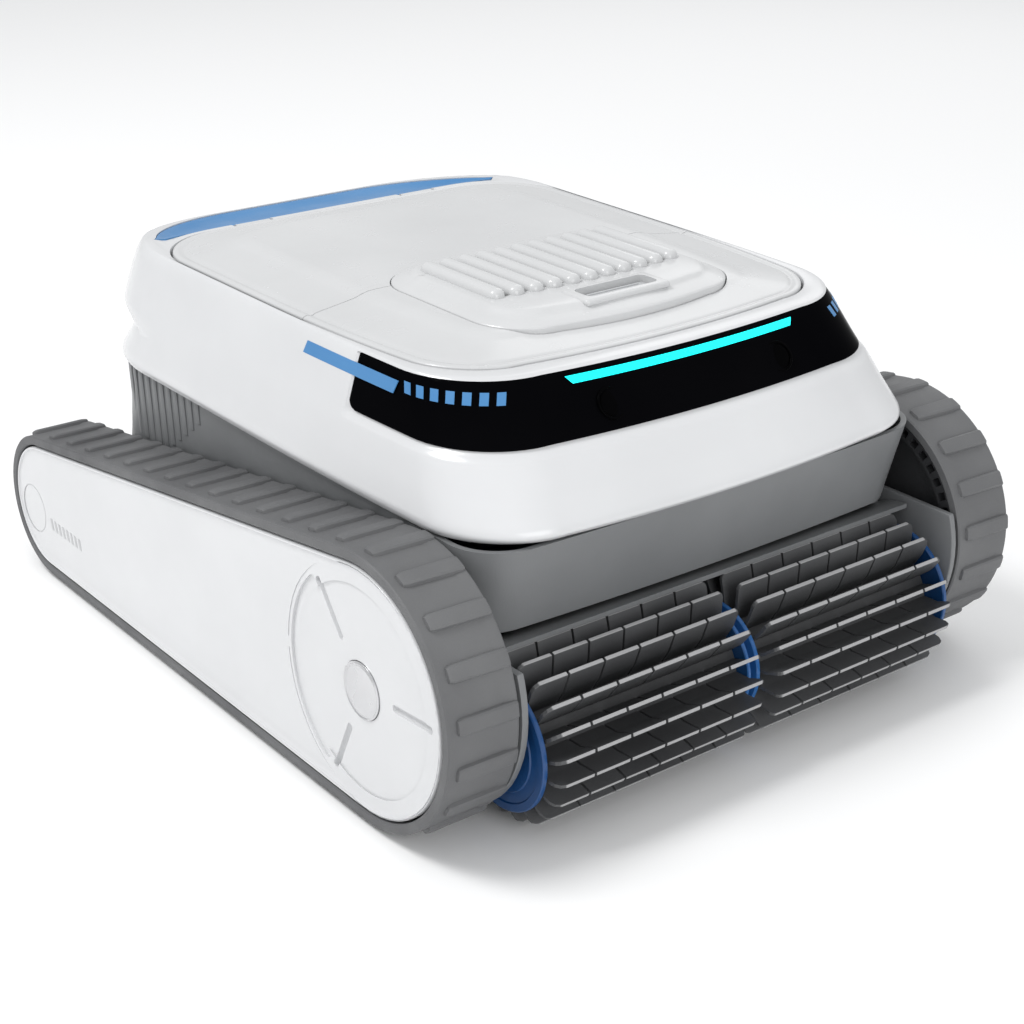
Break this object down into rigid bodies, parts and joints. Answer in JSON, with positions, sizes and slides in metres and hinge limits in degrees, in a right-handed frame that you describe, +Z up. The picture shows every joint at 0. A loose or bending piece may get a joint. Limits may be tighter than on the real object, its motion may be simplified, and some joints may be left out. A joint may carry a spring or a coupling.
{
  "type": "robotic pool cleaner",
  "caption": "Tracked robotic pool cleaner with a finned front brush roller, hinged filter lid, outlet grille and rear carrying handle.",
  "frame": {"origin": "centre of the overall box in plan, on the pool floor under the tracks", "axes": "+Z up, -Y towards the front with the brush, +X across the machine"},
  "size_m": [0.4, 0.4984, 0.2399],
  "materials": {
    "shell_white": "gloss white moulded plastic",
    "lid_white": "satin white moulded plastic",
    "panel_white": "satin white moulded plastic",
    "tub_grey": "matte mid grey plastic",
    "scoop_grey": "satin mid grey plastic",
    "inner_grey": "matte grey plastic",
    "panel_black": "piano black plastic",
    "lens_black": "gloss black sensor window",
    "led_cyan": "lit cyan diffuser",
    "handle_blue": "satin blue plastic",
    "disc_blue": "deep blue plastic",
    "ring_blue": "blue plastic",
    "latch_grey": "satin light grey plastic",
    "belt_rubber": "matte dark grey rubber",
    "brush_rubber": "matte dark grey rubber",
    "wheel_dark": "matte dark grey plastic",
    "steel": "stainless steel",
    "spun_metal": "spun aluminium"
  },
  "bodies": {
    "hull": {"chassis_tub": "tub_grey", "upper_shell": "shell_white", "front_panel": "panel_black", "led_bar": "led_cyan", "lens_right": "lens_black", "lens_left": "lens_black", "front_scoop": "scoop_grey", "rear_handle": "handle_blue", "hinge_pin_right": "steel", "hinge_pin_left": "steel", "drive_belt_right": "belt_rubber", "drive_belt_left": "belt_rubber", "side_panel_right": "panel_white", "side_panel_left": "panel_white", "hub_cap_right": "spun_metal", "hub_cap_left": "spun_metal", "track_frame_right": "wheel_dark", "track_frame_left": "wheel_dark", "brush_bracket_right": "tub_grey", "brush_bracket_left": "tub_grey", "battery_pack": "inner_grey", "pump_housing": "inner_grey", "pump_motor": "steel", "filter_basket": "inner_grey", "drive_motor_right": "steel", "drive_motor_left": "steel", "control_box": "inner_grey"},
    "lid": {"lid_rear": "lid_white", "lid_front": "lid_white", "outlet_plate": "lid_white"},
    "latch": {"latch_tab": "latch_grey"},
    "brush": {"brush_core": "tub_grey", "brush_sleeve_right": "brush_rubber", "brush_sleeve_left": "brush_rubber", "brush_disc_right": "disc_blue", "brush_disc_left": "disc_blue", "brush_ring": "ring_blue"},
    "pump_impeller": {"impeller": "inner_grey"},
    "front_wheel_right_body": {"front_wheel_right": "wheel_dark"},
    "front_wheel_left_body": {"front_wheel_left": "wheel_dark"},
    "rear_wheel_right_body": {"rear_wheel_right": "wheel_dark"},
    "rear_wheel_left_body": {"rear_wheel_left": "wheel_dark"},
    "intake_door": {"intake_flap": "brush_rubber"},
    "button": {"power_button": "handle_blue"},
    "port_cap": {"charge_cap": "brush_rubber"}
  },
  "joints": [
    {"name": "lid_hinge", "type": "hinge", "parent": "hull", "child": "lid", "pos_m": [0, 0.1595, 0.2184], "axis": [-1, 0, 0], "range_deg": [0, 75]},
    {"name": "latch_slide", "type": "slide", "parent": "lid", "child": "latch", "axis": [0, 1, 0], "range_m": [0, 0.003], "stiffness_N_per_m": 300},
    {"name": "brush_spin", "type": "hinge", "parent": "hull", "child": "brush", "pos_m": [0, -0.20267, 0.0493], "axis": [1, 0, 0], "continuous": true},
    {"name": "impeller_spin", "type": "hinge", "parent": "hull", "child": "pump_impeller", "pos_m": [0, -0.062, 0.168], "axis": [0, 0, 1], "continuous": true},
    {"name": "front_wheel_right_spin", "type": "hinge", "parent": "hull", "child": "front_wheel_right_body", "pos_m": [0.17, -0.1612, 0.077], "axis": [1, 0, 0], "continuous": true},
    {"name": "front_wheel_left_spin", "type": "hinge", "parent": "hull", "child": "front_wheel_left_body", "pos_m": [-0.17, -0.1612, 0.077], "axis": [1, 0, 0], "continuous": true},
    {"name": "rear_wheel_right_spin", "type": "hinge", "parent": "hull", "child": "rear_wheel_right_body", "pos_m": [0.17, 0.2, 0.049], "axis": [1, 0, 0], "continuous": true},
    {"name": "rear_wheel_left_spin", "type": "hinge", "parent": "hull", "child": "rear_wheel_left_body", "pos_m": [-0.17, 0.2, 0.049], "axis": [1, 0, 0], "continuous": true},
    {"name": "intake_flap_hinge", "type": "hinge", "parent": "hull", "child": "intake_door", "pos_m": [0, -0.0174, 0.0242], "axis": [-1, 0, 0], "range_deg": [0, 70]},
    {"name": "power_button_press", "type": "slide", "parent": "hull", "child": "button", "axis": [0, -1, 0], "range_m": [0, 0.0015], "stiffness_N_per_m": 600},
    {"name": "charge_cap_hinge", "type": "hinge", "parent": "hull", "child": "port_cap", "pos_m": [-0.034, 0.218, 0.206], "axis": [1, 0, 0], "range_deg": [0, 100]}
  ],
  "couplings": [
    {"joint": "rear_wheel_right_spin", "follows": "front_wheel_right_spin", "ratio": 1.662},
    {"joint": "rear_wheel_left_spin", "follows": "front_wheel_left_spin", "ratio": 1.662}
  ]
}
